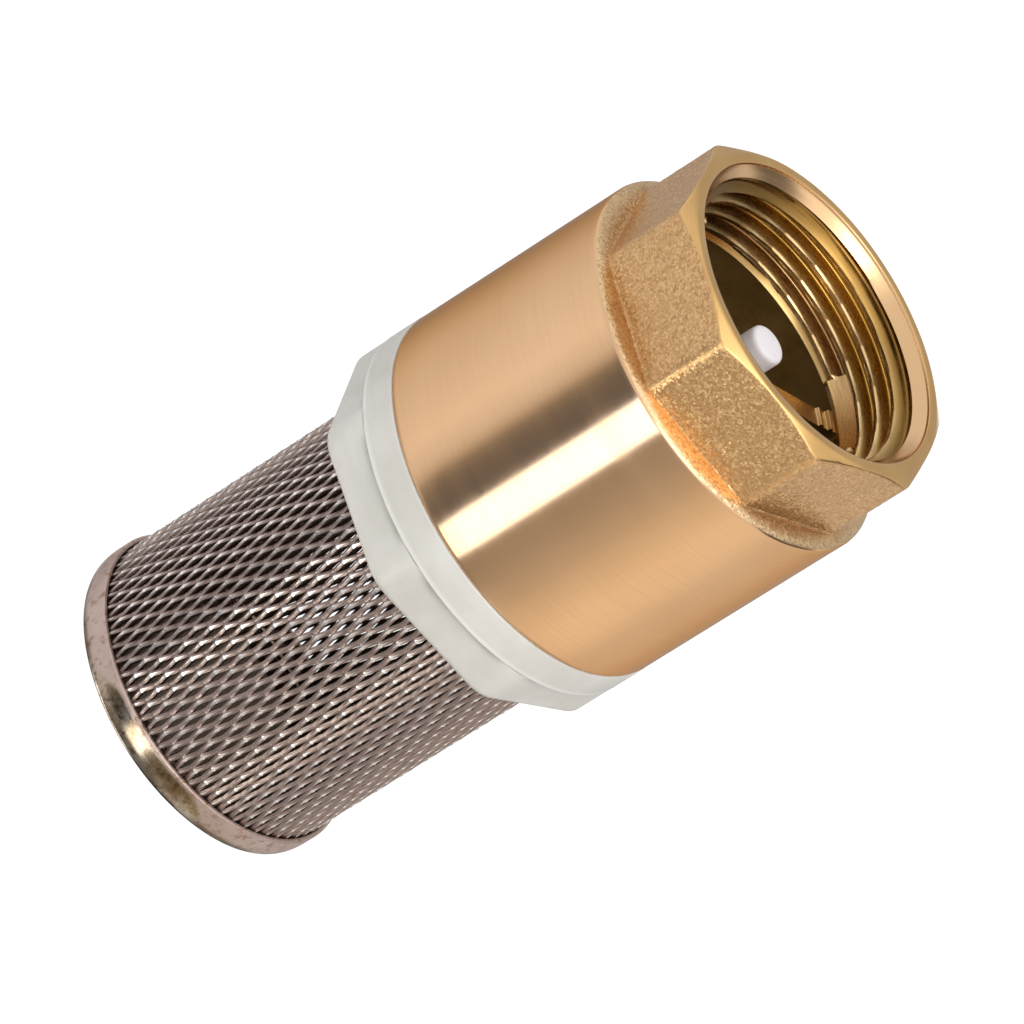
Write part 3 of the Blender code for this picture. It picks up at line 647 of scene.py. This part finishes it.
def make_body():
    """Head, barrel, thread and stem guide, with a look for each kind of surface."""
    inside, barrel, cast, faced, thread = range(5)
    angles = octagon_angles(HEAD_TURN)
    flat = octagon_radius(angles, HEAD_FLATS, HEAD_CORNER, HEAD_TURN)
    chamfer_z = TOP - (flat - HEAD_FACE_R) * HEAD_CHAMFER

    def lump(size):
        return RNG.normal(0, size, len(angles)).clip(-2 * size, 2 * size)

    rows = [(HEAD_FACE_R - 0.5 * MM, TOP, faced), (HEAD_FACE_R - 0.08 * MM, TOP, faced),
            (HEAD_FACE_R + 0.03 * MM, TOP - 0.03 * MM, faced)]
    for share in (0.3, 0.6, 0.85):
        rows.append((HEAD_FACE_R + share * (flat - HEAD_FACE_R),
                     TOP - share * (TOP - chamfer_z), faced))
    rows += [(flat - 0.10 * MM, chamfer_z + 0.05 * MM, faced),
             (flat - 0.02 * MM, chamfer_z - 0.05 * MM, cast)]
    foot = HEAD_FOOT + 0.16 * MM
    for share in np.linspace(0.02, 1.0, 26):
        z = (chamfer_z - 0.1 * MM) * (1 - share) + foot * share
        rows.append((flat + lump(CAST_GRAIN), z, cast))
    rows += [(flat + 0.04 * MM + lump(CAST_GRAIN / 2), HEAD_FOOT + 0.05 * MM, cast),
             (flat + 0.15 * MM + lump(CAST_GRAIN / 2), HEAD_FOOT, cast)]
    rim = BARREL_R - 0.35 * MM
    for share in (0.2, 0.4, 0.6, 0.8, 1.0):
        sink = (HEAD_FOOT - SHOULDER - 0.05 * MM) * share ** 1.6
        rows.append(((flat + 0.15 * MM) * (1 - share) + rim * share,
                     HEAD_FOOT - sink + lump(CAST_GRAIN * 0.7), cast))
    rows += [(rim + 0.22 * MM, SHOULDER - 0.12 * MM, barrel),
             (rim + 0.32 * MM, SHOULDER - 0.26 * MM, barrel),
             (BARREL_R, SHOULDER - 0.42 * MM, barrel)]
    for z in np.linspace(SHOULDER - 1 * MM, BODY_FOOT + 0.5 * MM, 9):
        rows.append((BARREL_R, z, barrel))
    rows += [(BARREL_R - 0.05 * MM, BODY_FOOT + 0.2 * MM, barrel),
             (BARREL_R - 0.12 * MM, BODY_FOOT + 0.05 * MM, barrel),
             (BARREL_R - 0.22 * MM, BODY_FOOT, inside),
             (LOWER_R + 0.5 * MM, BODY_FOOT, inside)]
    rows += threaded(angles, BODY_FOOT + 0.5 * MM, CHAMBER_FOOT - 0.7 * MM, 0.0, look=inside)
    ridge, ledge = 13.7 * MM, 15.0 * MM         # two turned steps on the web, beside the wall
    inner = rounded([
        (LOWER_R, CHAMBER_FOOT - 0.6 * MM, 0), (LOWER_R, CHAMBER_FOOT, 0),
        (CHAMBER_R, CHAMBER_FOOT, 0.3 * MM), (CHAMBER_R, WEB_FOOT, 0.9 * MM),
        (HUB_R, WEB_FOOT, 0.8 * MM), (HUB_R, HUB_FOOT, 0.4 * MM),
        (STEM_BORE_R, HUB_FOOT, 0.3 * MM), (STEM_BORE_R, HUB_TOP, 0.3 * MM),
        (HUB_R, HUB_TOP, 0.35 * MM), (HUB_R + 0.1 * MM, WEB_TOP, 0.2 * MM),
        (ridge, WEB_TOP, 0.1 * MM), (ridge + 0.15 * MM, WEB_TOP + 0.35 * MM, 0.06 * MM),
        (ridge + 0.45 * MM, WEB_TOP + 0.35 * MM, 0.06 * MM),
        (ridge + 0.55 * MM, WEB_TOP + 0.15 * MM, 0), (ledge, WEB_TOP + 0.15 * MM, 0.1 * MM),
        (ledge + 0.1 * MM, WEB_TOP + 0.6 * MM, 0.06 * MM),
        (ledge + 0.35 * MM, WEB_TOP + 0.6 * MM, 0.06 * MM),
        (ledge + 0.5 * MM, WEB_TOP + 0.4 * MM, 0),
    ], steps=3)
    rows += [(r, z, thread if z > WEB_TOP - 0.1 * MM else inside) for r, z in inner]
    steps = round((ENTRY_FOOT - WEB_TOP - 0.6 * MM) / PITCH * 20)
    for z in np.linspace(WEB_TOP + 0.6 * MM, ENTRY_FOOT - 0.05 * MM, steps):
        rows.append((socket_wall(angles, z), z, thread))
    rows += [(np.maximum(pipe_thread(angles, ENTRY_FOOT - 0.02 * MM), ENTRY_R + 0.02 * MM),
              ENTRY_FOOT - 0.02 * MM, faced)]
    for share in (0.08, 0.5, 0.94):
        rows.append((ENTRY_R + share * (MOUTH_R - ENTRY_R) + 0.01 * MM,
                     ENTRY_FOOT + share * (MOUTH_FOOT - ENTRY_FOOT), faced))
    rows += [(MOUTH_R - 0.02 * MM, MOUTH_FOOT + 0.02 * MM, faced),
             (MOUTH_R, TOP - 0.07 * MM, faced), (MOUTH_R + 0.02 * MM, TOP - 0.03 * MM, faced),
             (MOUTH_R + 0.07 * MM, TOP, faced)]
    looks = [inner_brass(), turned_brass(), cast_brass(), faced_brass(), thread_brass()]
    body = wrap("valve_body_fine", angles, rows, looks)
    for index in range(ARMS):
        boolean(body, port_cutter(index), "DIFFERENCE")
    smooth_shaded(body.data)
    return stand_for(body, "root")


# ---- seat and poppet

def make_seat():
    """The screwed-in seat ring with its two key slots, and the gasket above it."""
    low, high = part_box("seat_ring")
    ring_top = high.z - 1.6 * MM
    angles = np.arange(288) * TAU / 288
    bore, lip = 12.5 * MM, 13.5 * MM
    profile = rounded([
        (bore + 0.25 * MM, high.z, 0), (lip, high.z, 0.2 * MM),
        (lip + 1.0 * MM, ring_top, 0.3 * MM), (LOWER_R - 0.9 * MM, ring_top, 0)])
    rows = [(r, z, 0) for r, z in profile]
    rows += threaded(angles, low.z + 0.2 * MM, ring_top - 0.2 * MM, THREAD_PLAY)[::-1]
    rows += [(r, z, 0) for r, z in rounded([
        (LOWER_R - 0.9 * MM, low.z, 0), (bore + 0.6 * MM, low.z, 0.2 * MM),
        (bore, low.z + 0.6 * MM, 0.3 * MM), (bore, high.z - 0.2 * MM, 0)])]
    ring = wrap("seat_ring_fine", angles, rows, [seat_brass()])
    half_slot, reach = 1.5 * MM, 30 * MM
    for index in range(2):
        side = 1 - 2 * index
        slot = prism("slot", [(0, -half_slot), (side * reach, -half_slot),
                              (side * reach, half_slot), (0, half_slot)][::side],
                     low.z - 1 * MM, low.z + 1.2 * MM)
        boolean(ring, slot, "DIFFERENCE")
    stand_for(ring, "root")

    low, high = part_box("seat_gasket")
    gasket = washer("seat_gasket_fine", high.x - 0.2 * MM, CHAMBER_R - 0.3 * MM, low.z, high.z,
                    0.15 * MM, rubber("gasket_rubber", (0.018, 0.018, 0.019)), steps=3)
    stand_for(gasket, "root")


def make_poppet():
    """The poppet with its seal, the winged plate under it and the screw that holds them."""
    disc_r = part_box("poppet")[1].x
    seal_low, seal_high = (corner.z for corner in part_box("poppet_seal"))
    disc_low = seal_high + 0.3 * MM
    disc_top = disc_low + 2.2 * MM
    stem, boss, hole = 2.25 * MM, 3.7 * MM, 1.8 * MM
    groove_in, groove_out, groove_z = 6.9 * MM, 9.8 * MM, disc_top - 0.4 * MM   # spring's seat
    retainer_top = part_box("seal_retainer")[1].z
    screw_low, screw_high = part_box("retainer_screw")
    poppet = turned("poppet_fine", [
        (0, STEM_TOP, 0), (stem, STEM_TOP, 0.55 * MM), (stem, disc_top, 0.5 * MM),
        (groove_in, disc_top, 0.3 * MM), (groove_in + 0.1 * MM, groove_z, 0.2 * MM),
        (groove_out - 0.5 * MM, groove_z, 0.2 * MM), (groove_out, disc_top, 0.3 * MM),
        (disc_r, disc_top, 0.5 * MM), (disc_r, disc_low, 0.3 * MM),
        (boss, disc_low, 0.2 * MM), (boss, seal_low, 0.2 * MM), (hole, seal_low, 0.2 * MM),
        (hole, screw_high.z + 0.3 * MM, 0.3 * MM), (0, screw_high.z + 0.3 * MM, 0)],
        nylon("poppet_nylon", (0.81, 0.775, 0.80), (0.73, 0.695, 0.72), 0.35),
        facets=160, closed=False, steps=5)
    stand_for(poppet, "poppet")

    seal = washer("poppet_seal_fine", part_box("poppet_seal")[1].x, boss + 0.3 * MM, seal_low,
                  seal_high, 0.25 * MM, rubber("seal_rubber", (0.014, 0.014, 0.015)))
    stand_for(seal, "poppet")

    plate_r, plate_low = 11.6 * MM, retainer_top - 1.8 * MM
    looks = nylon("retainer_nylon", (0.84, 0.81, 0.83), (0.76, 0.73, 0.75), 0.3)
    plate = turned("seal_retainer_fine", [
        (plate_r, retainer_top, 0.3 * MM), (plate_r, plate_low, 0.3 * MM),
        (hole, plate_low, 0.2 * MM), (hole, retainer_top, 0.2 * MM)], looks)
    wing_r, wing_inner, half = 12.1 * MM, 3.6 * MM, 0.6 * MM
    wing_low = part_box("seal_retainer")[0].z
    for index in range(4):
        wing = prism("wing", [(wing_inner, -half), (wing_r, -half), (wing_r, half),
                              (wing_inner, half)], wing_low, plate_low + 0.9 * MM,
                     bevel=0.35 * MM, steps=3)
        wing.data.transform(Matrix.Rotation(TAU / 8 + index * TAU / 4, 4, "Z"))
        wing.data.materials.append(looks)
        boolean(plate, wing, "UNION")
    smooth_shaded(plate.data)
    stand_for(plate, "poppet")

    shank, head = 1.5 * MM, 2.8 * MM
    neck = screw_high.z - 7.6 * MM
    steel = bright_steel("screw_steel", (0.62, 0.61, 0.59), (0.48, 0.47, 0.455), 0.22)
    screw = turned("retainer_screw_fine", [
        (0, screw_high.z, 0), (shank - 0.3 * MM, screw_high.z, 0.1 * MM),
        (shank, screw_high.z - 0.4 * MM, 0.1 * MM), (shank, neck, 0.1 * MM),
        (head, neck, 0.1 * MM), (head, screw_low.z + 0.8 * MM, 0.5 * MM),
        (head - 1.0 * MM, screw_low.z, 0.6 * MM), (0, screw_low.z, 0)],
        steel, facets=64, closed=False)
    long, half = 1.6 * MM, 0.3 * MM             # half sizes of the cross recess
    for index in range(2):
        slot = prism("slot", [(-long, -half), (long, -half), (long, half), (-long, half)],
                     screw_low.z - 0.5 * MM, screw_low.z + 0.9 * MM)
        slot.data.transform(Matrix.Rotation(index * TAU / 4, 4, "Z"))
        boolean(screw, slot, "DIFFERENCE")
    stand_for(screw, "poppet")


def make_spring():
    """Conical wire between the poppet's disc and the web, flat coils at both ends."""
    low, high = (corner.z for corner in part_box("spring"))
    sides, per_turn = 14, 72
    count = round(SPRING_TURNS * per_turn)
    along = np.arange(count + 1) / count
    flat = 0.6 / SPRING_TURNS                   # share of the wire in each flat end
    climb = np.clip((along - flat) / (1 - 2 * flat), 0, 1)
    climb = climb * climb * (3 - 2 * climb) * 0.4 + climb * 0.6
    angle = along * SPRING_TURNS * TAU
    radius = SPRING_FOOT_R + (SPRING_TOP_R - SPRING_FOOT_R) * along
    z = low + SPRING_WIRE_R + (high - low - 2 * SPRING_WIRE_R) * climb
    line = np.stack([radius * np.cos(angle), radius * np.sin(angle), z], -1)
    out = np.stack([np.cos(angle), np.sin(angle), np.zeros_like(angle)], -1)
    ahead = np.gradient(line, axis=0)
    ahead /= np.linalg.norm(ahead, axis=1, keepdims=True)
    side = np.cross(ahead, out)
    side /= np.linalg.norm(side, axis=1, keepdims=True)
    ring = np.arange(sides) * TAU / sides
    verts = line[:, None] + SPRING_WIRE_R * (
        np.cos(ring)[None, :, None] * np.cross(side, ahead)[:, None]
        + np.sin(ring)[None, :, None] * side[:, None])
    index = np.arange((count + 1) * sides).reshape(count + 1, sides)
    beside = np.roll(index, -1, 1)
    quads = np.stack([index[:-1], index[1:], beside[1:], beside[:-1]], -1).reshape(-1, 4).tolist()
    faces = quads + [index[0].tolist(), index[-1][::-1].tolist()]
    steel = bright_steel("spring_steel", (0.66, 0.63, 0.60), (0.52, 0.50, 0.47), 0.18)
    spring = new_piece("spring_fine", verts.reshape(-1, 3).tolist(), faces, [steel])
    bm = bmesh.new()
    bm.from_mesh(spring.data)
    bmesh.ops.recalc_face_normals(bm, faces=bm.faces)
    bm.to_mesh(spring.data)
    bm.free()
    stand_for(spring, "root")
    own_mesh(spring)


# ---- strainer

def make_holder():
    """The nylon flange, its octagonal collar and its threaded spigot."""
    angles = octagon_angles(COLLAR_TURN)
    side = octagon_radius(angles, COLLAR_FLATS, COLLAR_CORNER, COLLAR_TURN)
    spigot = LOWER_R - THREAD_PLAY - LOWER_DEPTH
    rows = [(HOLDER_BORE_R + 0.3 * MM, SPIGOT_TOP, 0), (spigot - 0.3 * MM, SPIGOT_TOP, 0)]
    rows += threaded(angles, FLANGE_TOP + 1.2 * MM, SPIGOT_TOP - 0.3 * MM, THREAD_PLAY)[::-1]
    rows += [(r, z, 0) for r, z in rounded([
        (spigot, FLANGE_TOP + 0.9 * MM, 0), (spigot, SHUT_TOP, 0.1 * MM),
        (FLANGE_R, SHUT_TOP, 0.2 * MM), (FLANGE_R, FLANGE_FOOT, 0.45 * MM),
        (FLANGE_R - 0.35 * MM, FLANGE_FOOT, 0)])]
    top = np.minimum(side, FLANGE_R - 0.4 * MM)
    rows += [(top, FLANGE_FOOT - 0.02 * MM, 0), (side - 0.05 * MM, FLANGE_FOOT - 0.12 * MM, 0)]
    for z in np.linspace(FLANGE_FOOT - 0.3 * MM, COLLAR_FOOT + COLLAR_EDGE, 8):
        rows.append((side, z, 0))
    for turn in np.radians([15, 30, 45, 60, 75, 90]):
        rows.append((side - COLLAR_EDGE * (1 - math.cos(turn)),
                     COLLAR_FOOT + COLLAR_EDGE * (1 - math.sin(turn)), 0))
    rows += [(r, z, 0) for r, z in rounded([
        (POCKET_R + 0.6 * MM, COLLAR_FOOT, 0), (POCKET_R, COLLAR_FOOT, 0.25 * MM),
        (POCKET_R, MESH_TOP + 0.3 * MM, 0.3 * MM), (HOLDER_BORE_R, MESH_TOP + 0.3 * MM, 0.3 * MM),
        (HOLDER_BORE_R, SPIGOT_TOP, 0.3 * MM), (HOLDER_BORE_R + 0.25 * MM, SPIGOT_TOP, 0)])]
    holder = wrap("strainer_holder_fine", angles, rows,
                  [nylon("holder_nylon", (0.655, 0.635, 0.595), (0.555, 0.53, 0.485), 0.4,
                         shade=(0.40, 0.39, 0.34))])
    stand_for(holder, "root")


def make_clamp_ring():
    low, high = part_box("mesh_clamp_ring")
    steel = bright_steel("clamp_steel", (0.58, 0.56, 0.53), (0.44, 0.42, 0.40), 0.26)
    ring = washer("mesh_clamp_ring_fine", high.x - 0.25 * MM, high.x - 0.9 * MM, low.z, high.z,
                  0.15 * MM, steel, steps=3)
    stand_for(ring, "root")


def make_mesh():
    """Expanded sheet as zigzag ribbons that share the metal where they meet."""
    strands = 2 * DIAMONDS
    step = TAU * MESH_MEAN_R / strands
    wide = STRAND_WIDTH * math.cos(STRAND_TILT)
    deep = STRAND_WIDTH * math.sin(STRAND_TILT)
    swing = (step - wide) / 2
    bond = 0.10                                 # share of the length that a joint takes
    shape = [(-bond / 2, 1), (0, 1), (bond / 2, 1), (0.25, 0),
             (0.5 - bond / 2, -1), (0.5, -1), (0.5 + bond / 2, -1), (0.75, 0)]
    low, high = MESH_FOOT + 0.1 * MM, MESH_TOP
    waves = math.ceil((high - low) / DIAMOND_LONG) + 1
    place = np.array([wave + at for wave in range(waves) for at, _ in shape]) * DIAMOND_LONG + low
    sway = np.array([to for _ in range(waves) for _, to in shape], float)
    knuckle = np.array([at in (0, 0.5) for _ in range(waves) for at, _ in shape])
    keep = (place > low - 1e-9) & (place < high)
    place, sway, knuckle = place[keep], sway[keep], knuckle[keep]
    thick = STRAND_THICK / 2
    section = ((-1, -1), (1, -1), (1, 0.55), (0, 1), (-1, 0.55))     # (along theta, outwards)
    corners = len(section)
    verts, faces = [], []
    for k in range(strands):
        lean = sway if k % 2 == 0 else -sway
        middle = k * step + swing * lean
        out = MESH_MEAN_R - deep / 2 * lean
        base = len(verts)
        for z, s, r, raised in zip(place, middle, out, knuckle):
            for side, face in section:
                lift = thick * face + (KNUCKLE_RISE if raised and face > 0 else 0)
                at = (s + side * wide / 2 - lift * math.sin(STRAND_TILT)) / MESH_MEAN_R
                rr = r + side * deep / 2 + lift * math.cos(STRAND_TILT)
                verts.append((rr * math.cos(at), rr * math.sin(at), z))
        last = len(place) - 1
        for j in range(last):
            a, b = base + corners * j, base + corners * (j + 1)
            joined = lean[j] * lean[j + 1] > 0.5
            for c in range(corners):
                if joined and ((c == 1 and lean[j] > 0) or (c == 4 and lean[j] < 0)):
                    continue                    # this side is inside a joint
                d = (c + 1) % corners
                faces.append((a + c, a + d, b + d, b + c))
        faces.append([base + c for c in reversed(range(corners))])
        end = base + corners * last
        faces.append([end + c for c in range(corners)])
    tube = new_piece("strainer_mesh_fine", verts, faces, [mesh_steel()])
    bm = bmesh.new()
    bm.from_mesh(tube.data)
    bmesh.ops.remove_doubles(bm, verts=bm.verts, dist=0.02 * MM)
    bm.to_mesh(tube.data)
    bm.free()
    stand_for(tube, "root")


def make_cap():
    """The pressed cup, its lip crimped towards the mesh and its base dished upwards."""
    sheet, recess = 0.35 * MM, 0.7 * MM
    sink, tall = 0.55 * MM, 1.75 * MM           # the lower edge's rounding, across and along
    edge = [(CAP_R - sink * (1 - math.cos(t)), tall * (1 - math.sin(t)), 0)
            for t in np.radians(range(6, 90, 6))]
    inner, rest = CAP_R - sheet, 14.0 * MM      # rest: inner edge of the ring it stands on
    hem = MESH_MEAN_R + 0.40 * MM
    cap = turned("strainer_cap_fine", [
        (0, recess + sheet, 0), (rest - 1.2 * MM, recess + sheet, 0.6 * MM),
        (rest - 0.2 * MM, sheet, 0.6 * MM), (inner, sheet, 0.8 * MM),
        (inner, CAP_LIP - 0.8 * MM, 0.1 * MM), (hem, CAP_LIP - 0.3 * MM, 0.1 * MM),
        (hem, CAP_LIP, 0.1 * MM), (CAP_R, CAP_LIP, 0.22 * MM), (CAP_R, tall, 0),
        *edge, (CAP_R - sink - 0.1 * MM, 0, 0), (rest, 0, 0.6 * MM),
        (rest - 1.0 * MM, recess, 0.6 * MM), (0, recess, 0)],
        cap_steel(), facets=192, closed=False, steps=10)
    stand_for(cap, "root")


# ---- studio

CAMERA_AZIMUTH = math.radians(-15.2)
CAMERA_ELEVATION = math.radians(29.0)
CAMERA_ROLL = math.radians(57.7)
CAMERA_DISTANCE = 1.0023
CAMERA_LENS = 343.65                # millimetres on a 36 mm sensor
AIM_HEIGHT = 43.59 * MM
AIM_SIDE = 0.52 * MM                # to the right of the axis, level


def make_camera():
    data = bpy.data.cameras.new("camera")
    data.sensor_width = 36.0
    data.lens = CAMERA_LENS
    data.clip_start = 0.05
    data.clip_end = 50.0
    camera = link("camera", data)
    level = math.cos(CAMERA_ELEVATION)
    back = Vector((math.sin(CAMERA_AZIMUTH) * level, -math.cos(CAMERA_AZIMUTH) * level,
                   math.sin(CAMERA_ELEVATION)))
    right = Vector((math.cos(CAMERA_AZIMUTH), math.sin(CAMERA_AZIMUTH), 0))
    aim = right * AIM_SIDE + Vector((0, 0, AIM_HEIGHT))
    camera.location = aim + back * CAMERA_DISTANCE
    camera.rotation_mode = "QUATERNION"
    camera.rotation_quaternion = (back.to_track_quat("Z", "Y")
                                  @ Quaternion((0, 0, 1), CAMERA_ROLL))
    bpy.context.scene.camera = camera


# Light from below the horizon, by the angle round from the camera: (degrees, level, warmth).
# Warmth takes away some green and more blue, and below zero it adds them.
LOW_LIGHT = [(-180, 0.36, 0), (-156, 0.42, 0), (-132, 0.65, 0), (-116, 0.77, 0), (-84, 0.90, 0),
             (-60, 1.02, 0), (-46, 0.82, 0), (-40, 0.58, 0.2), (-37, 0.29, 0.5), (-31, 0.16, 0),
             (-22, 0.12, -0.8), (-8, 0.14, -0.8), (8, 0.34, 0.3), (30, 0.46, 0.3), (44, 0.60, 0.5),
             (54, 0.77, 0.6), (76, 1.02, 0.5), (92, 1.0, 0.4), (108, 0.82, 0.2),
             (130, 0.78, 0), (156, 0.62, 0), (180, 0.36, 0)]


def make_world():
    """A white studio: a bright strip between darker sides below, a soft dome and lamps above.

    phi is the angle round from the camera, to the right, and elevation is from the horizon.
    """
    world = bpy.data.worlds.new("studio")
    bpy.context.scene.world = world
    world.use_nodes = True
    tree = world.node_tree
    tree.nodes.clear()

    def node(kind, values, **settings):
        return add_node(tree, kind, values, **settings).outputs[0]

    def calc(operation, *values):
        return node("Math", dict(enumerate(values)), operation=operation)

    def total(parts):
        result = parts[0]
        for part in parts[1:]:
            result = calc("ADD", result, part)
        return result

    def mixed(operation, a, b):
        return node("VectorMath", {0: a, 1: b}, operation=operation)

    def step(value, at, soft):
        return node("MapRange", {0: value, 1: at - soft / 2, 2: at + soft / 2, 3: 0.0, 4: 1.0},
                    interpolation_type="SMOOTHSTEP")

    def band(value, low, high, soft_low, soft_high, strength=1.0):
        """Strength between low and high, fading over the two soft widths."""
        inside = calc("SUBTRACT", step(value, low, soft_low), step(value, high, soft_high))
        return calc("MULTIPLY", inside, strength)

    def patch(strength, *bands):
        """A lamp where all the bands overlap, or with a strength below zero a dark flag."""
        result = calc("MULTIPLY", *(band(*each) for each in bands))
        return calc("MULTIPLY", result, strength)

    coords = add_node(tree, "TexCoord").outputs["Generated"]
    turned_to_camera = node("VectorRotate", {"Vector": coords, "Axis": (0, 0, 1),
                                             "Angle": math.pi / 2 - CAMERA_AZIMUTH})
    y, x, z = add_node(tree, "SeparateXYZ", {0: turned_to_camera}).outputs    # nearer, right, up
    phi = calc("MULTIPLY", calc("ARCTAN2", x, y), 180 / math.pi)
    elevation = calc("MULTIPLY", calc("ARCSINE", z), 180 / math.pi)

    ramp = add_node(tree, "ValToRGB", {0: calc("MULTIPLY_ADD", phi, 1 / 360, 0.5)})
    stops = ramp.color_ramp.elements
    while len(stops) > 1:
        stops.remove(stops[-1])
    for at, level, warmth in LOW_LIGHT:
        place = at / 360 + 0.5
        stop = stops[0] if place == 0 else stops.new(place)
        stop.color = (level, level * (1 - 0.12 * warmth), level * (1 - 0.35 * warmth), 1.0)
    away = calc("ABSOLUTE", phi)
    behind = patch(2.0, (away, 173, 400, 2, 1), (elevation, -24, 100, 3, 1))
    # Wider in blue, which brass swallows, so that the strip's edges stay cream
    strip = node("CombineXYZ", {0: band(phi, -11.9, 7.9, 1.2, 1.2, 3.9),
                                1: band(phi, -12.1, 8.1, 1.2, 1.2, 3.9),
                                2: band(phi, -12.6, 8.6, 1.2, 1.2, 3.45)})
    low_part = mixed("ADD", mixed("ADD", ramp.outputs[0], strip), behind)

    zenith = calc("MULTIPLY", step(elevation, 74, 8), 0.75)
    lamp = patch(3.4, (elevation, 46, 68, 6, 4), (phi, 8, 52, 6, 8))
    side_fill = patch(0.45, (elevation, 30, 72, 10, 4), (phi, -14, 96, 8, 12))
    right_flag = patch(-0.72, (elevation, -6, 46, 4, 10), (phi, 90, 128, 10, 8))
    top_lamp = patch(1.5, (elevation, 66, 100, 6, 1), (phi, 50, 135, 10, 10))
    back_flag = patch(-0.34, (elevation, -20, 44, 2, 16), (away, 138, 400, 16, 1))
    thread_lamp = patch(1.6, (elevation, 16, 44, 8, 6), (phi, 4, 44, 8, 12))
    dome = 0.88
    high_part = total([zenith, lamp, side_fill, right_flag, top_lamp, back_flag, thread_lamp, dome])

    under_lamp = patch(4.5, (x, -0.42, 0.0, 0.1, 0.1), (y, -0.10, 0.08, 0.06, 0.08))
    under_part = total([under_lamp, band(y, 0.1, 2.0, 0.4, 0.1, 0.30),
                        band(calc("ABSOLUTE", x), 0.38, 2.0, 0.3, 0.1, 0.5)])

    upper = step(elevation, -10, 8)
    under = step(z, -0.66, 0.1)
    middle = calc("SUBTRACT", under, upper)
    light = mixed("ADD", mixed("MULTIPLY", low_part, middle), calc("MULTIPLY", high_part, upper))
    light = mixed("ADD", light, calc("MULTIPLY", under_part, calc("SUBTRACT", 1.0, under)))
    add_node(tree, "OutputWorld", {"Surface": node("Background", {"Color": light})})


def make_floor():
    """White sweep under the valve, seen by the camera only, so that it lights nothing."""
    half = 40.0
    verts = [(-half, -half, 0), (half, -half, 0), (half, half, 0), (-half, half, 0)]
    m = Recipe("floor_white", Roughness=0.9)
    paper = m.blend(m.noise(3.0, 2.0), (0.93, 0.93, 0.93), (0.95, 0.95, 0.95))
    m.shader.inputs["Emission Strength"].default_value = 1.05
    m.set(Emission_Color=paper)
    m.shader.inputs["Base Color"].default_value = (0.1, 0.1, 0.1, 1)
    floor = new_piece("floor", verts, [(0, 1, 2, 3)], [m.material])
    floor.visible_glossy = floor.visible_diffuse = False
    floor.visible_transmission = floor.visible_shadow = False


make_camera()
make_world()
make_floor()
make_body()
make_seat()
make_poppet()
make_spring()
make_holder()
make_clamp_ring()
make_mesh()
make_cap()
bpy.context.scene.view_settings.view_transform = "Standard"
